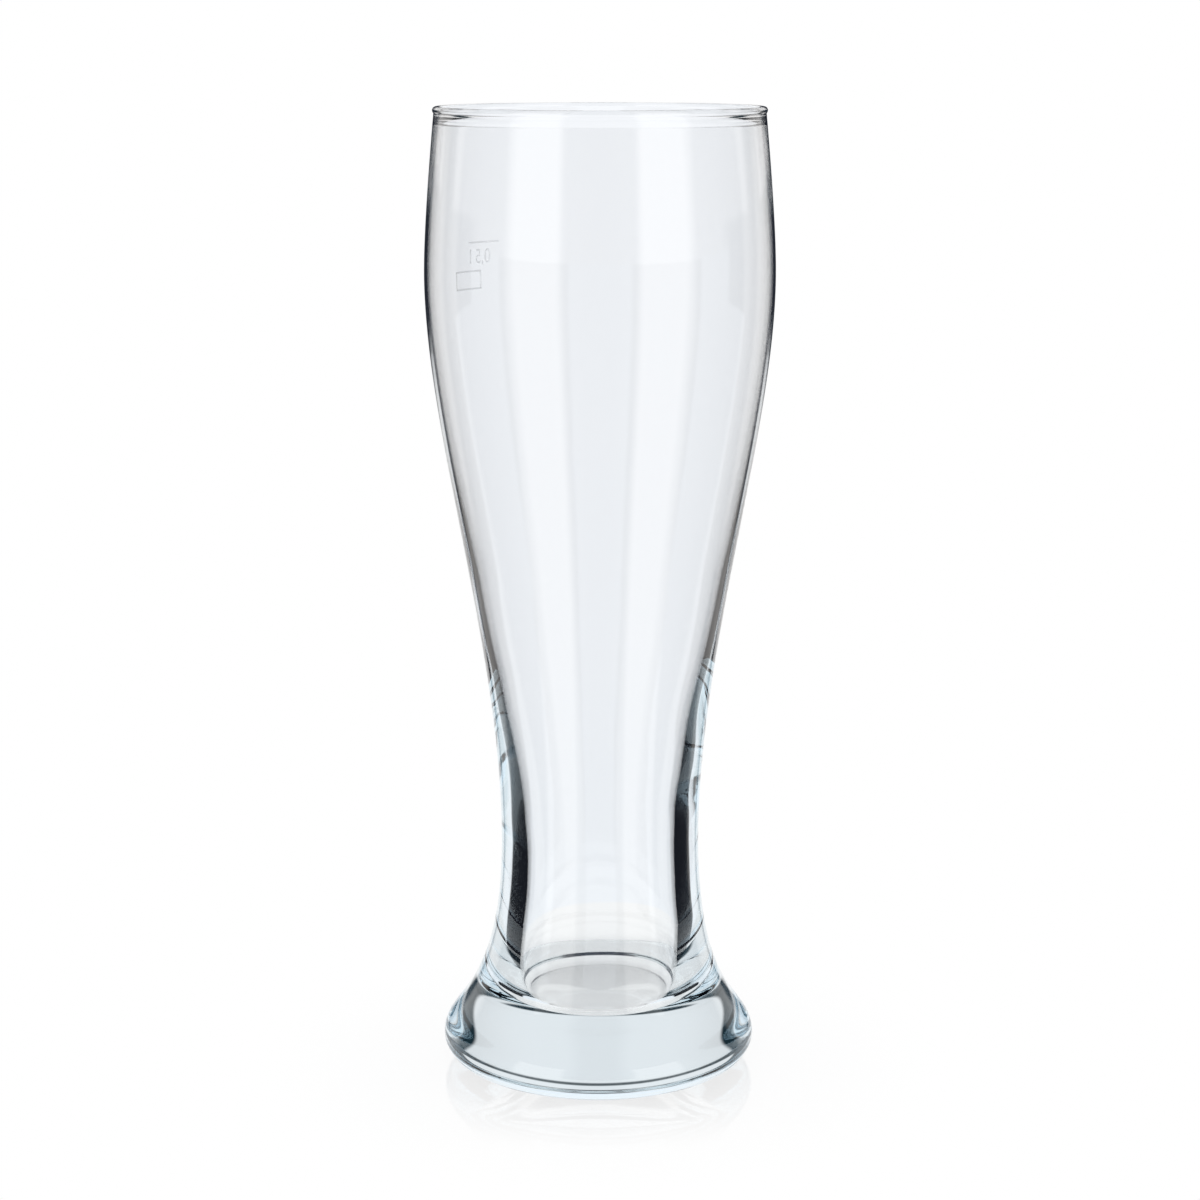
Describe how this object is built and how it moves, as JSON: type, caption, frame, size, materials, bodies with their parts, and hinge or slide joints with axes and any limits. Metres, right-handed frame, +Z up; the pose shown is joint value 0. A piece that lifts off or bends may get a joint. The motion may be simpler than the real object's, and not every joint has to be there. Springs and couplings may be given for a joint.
{
  "type": "weizen glass",
  "caption": "Tall clear wheat beer glass with a heavy foot, narrow waist, long flared bowl, rounded lip and a fired-on fill line.",
  "frame": {"origin": "centre of the ring that the glass stands on, at table height", "axes": "+Z up along the axis of the glass, towards the lip; +X to the right and +Y to the back, as the picture is taken from the front"},
  "size_m": [0.0844, 0.0844, 0.2371],
  "materials": {
    "glass": "polished",
    "enamel": "satin"
  },
  "bodies": {
    "root": {"glass_body": "glass", "fill_line": "enamel", "mark_frame": "enamel"}
  },
  "joints": []
}
